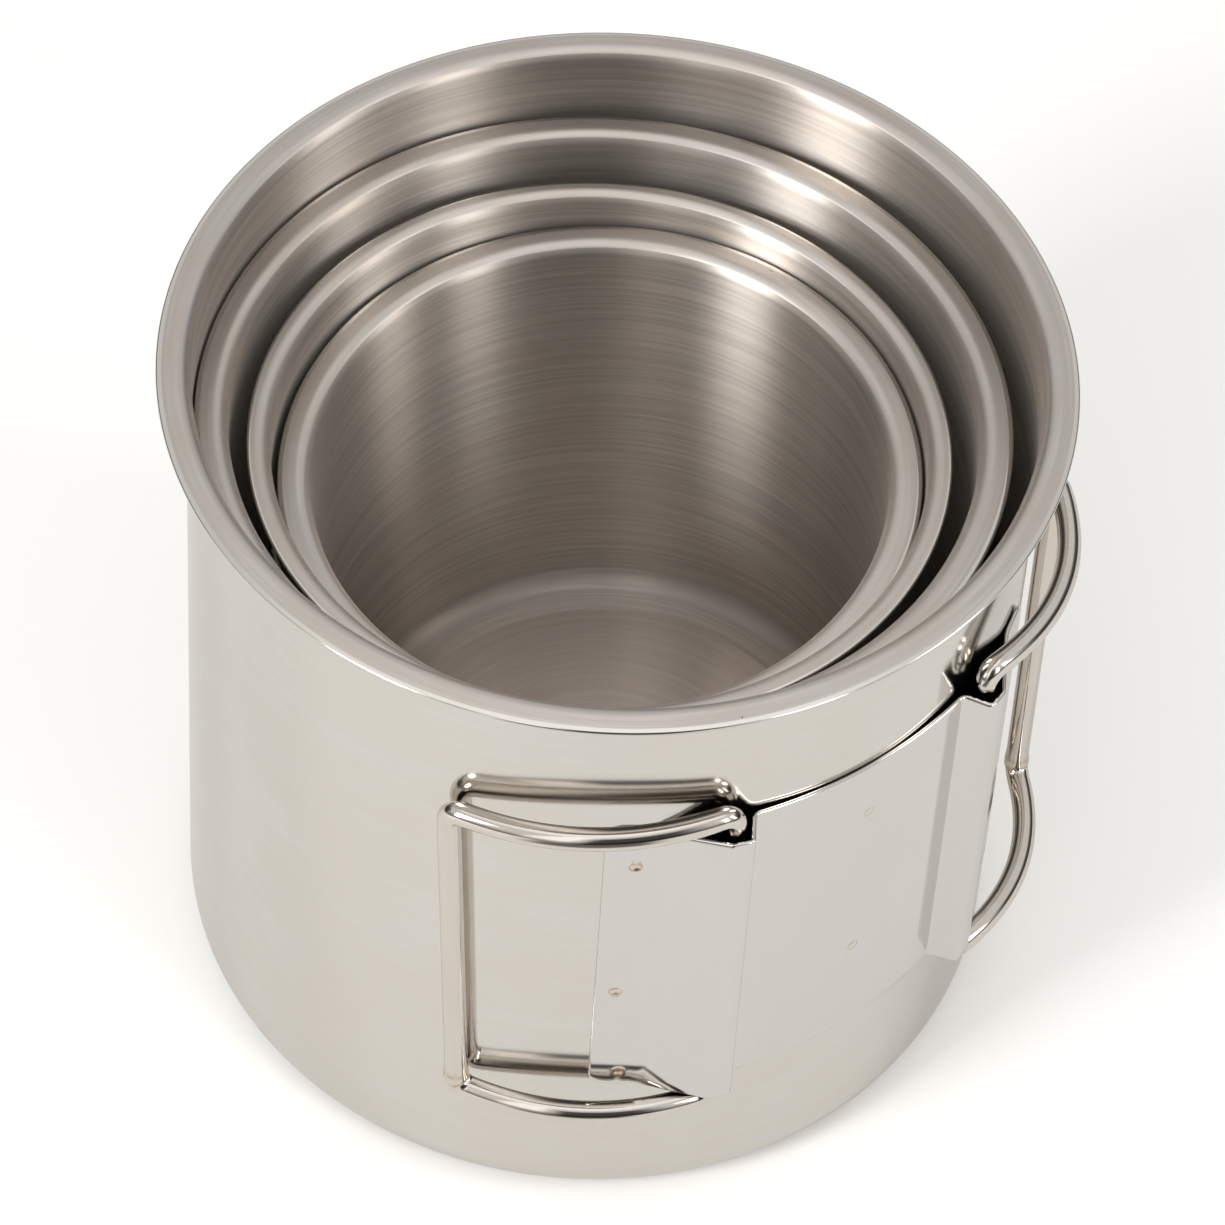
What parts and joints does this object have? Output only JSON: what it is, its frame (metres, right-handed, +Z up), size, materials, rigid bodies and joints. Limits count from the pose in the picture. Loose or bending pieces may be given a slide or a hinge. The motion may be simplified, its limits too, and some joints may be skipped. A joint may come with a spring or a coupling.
{
  "type": "nesting cup set",
  "caption": "Stainless steel cups that nest inside one another, each with a flared lip and a pair of folding wire loops hinged in a welded bracket.",
  "frame": {"origin": "centre of the large cup's flat base, on its underside", "axes": "+Z up along the large cup's axis; the large cup's handle faces between -Y and +X, 39 degrees round from -Y"},
  "size_m": [0.097, 0.0961, 0.0872],
  "materials": {
    "cup_steel": "polished outside, brushed round the inside, satin lip",
    "bracket_steel": "polished sheet",
    "wire_steel": "polished wire"
  },
  "bodies": {
    "large_cup": {"large_cup_shell": "cup_steel", "large_handle_bracket": "bracket_steel"},
    "large_left_loop": {"large_handle_left_loop": "wire_steel"},
    "large_right_loop": {"large_handle_right_loop": "wire_steel"},
    "medium_cup": {"medium_cup_shell": "cup_steel", "medium_handle_bracket": "bracket_steel"},
    "medium_left_loop": {"medium_handle_left_loop": "wire_steel"},
    "medium_right_loop": {"medium_handle_right_loop": "wire_steel"},
    "small_cup": {"small_cup_shell": "cup_steel", "small_handle_bracket": "bracket_steel"},
    "small_left_loop": {"small_handle_left_loop": "wire_steel"},
    "small_right_loop": {"small_handle_right_loop": "wire_steel"},
    "mini_cup": {"mini_cup_shell": "cup_steel", "mini_handle_bracket": "bracket_steel"},
    "mini_left_loop": {"mini_handle_left_loop": "wire_steel"},
    "mini_right_loop": {"mini_handle_right_loop": "wire_steel"}
  },
  "joints": [
    {"name": "large_left_hinge", "type": "hinge", "parent": "large_cup", "child": "large_left_loop", "pos_m": [0.01486, -0.04364, 0], "axis": [0, 0, 1], "range_deg": [0, 158]},
    {"name": "large_right_hinge", "type": "hinge", "parent": "large_cup", "child": "large_right_loop", "pos_m": [0.03984, -0.02319, 0], "axis": [0, 0, -1], "range_deg": [-2, 156]},
    {"name": "medium_lift", "type": "slide", "parent": "large_cup", "child": "medium_cup", "axis": [0, 0, 1], "range_m": [0, 0.092]},
    {"name": "small_lift", "type": "slide", "parent": "medium_cup", "child": "small_cup", "axis": [0, 0, 1], "range_m": [0, 0.084]},
    {"name": "mini_lift", "type": "slide", "parent": "small_cup", "child": "mini_cup", "axis": [0, 0, 1], "range_m": [0, 0.072]},
    {"name": "medium_left_hinge", "type": "hinge", "parent": "medium_cup", "child": "medium_left_loop", "pos_m": [0.03749, -0.01443, 0.0008], "axis": [0, 0, 1], "range_deg": [0, 5]},
    {"name": "medium_right_hinge", "type": "hinge", "parent": "medium_cup", "child": "medium_right_loop", "pos_m": [0.03749, 0.01443, 0.0008], "axis": [0, 0, -1], "range_deg": [0, 5]},
    {"name": "small_left_hinge", "type": "hinge", "parent": "small_cup", "child": "small_left_loop", "pos_m": [-0.02788, -0.02513, 0.0016], "axis": [0, 0, 1], "range_deg": [0, 3]},
    {"name": "small_right_hinge", "type": "hinge", "parent": "small_cup", "child": "small_right_loop", "pos_m": [-0.0049, -0.03633, 0.0016], "axis": [0, 0, -1], "range_deg": [0, 3]},
    {"name": "mini_left_hinge", "type": "hinge", "parent": "mini_cup", "child": "mini_left_loop", "pos_m": [-0.02935, -0.00925, 0.00991], "axis": [-0.0396, -0.0342, 0.9986], "range_deg": [0, 3]},
    {"name": "mini_right_hinge", "type": "hinge", "parent": "mini_cup", "child": "mini_right_loop", "pos_m": [-0.01448, -0.02648, 0.00991], "axis": [0.0396, 0.0342, -0.9986], "range_deg": [0, 3]}
  ]
}
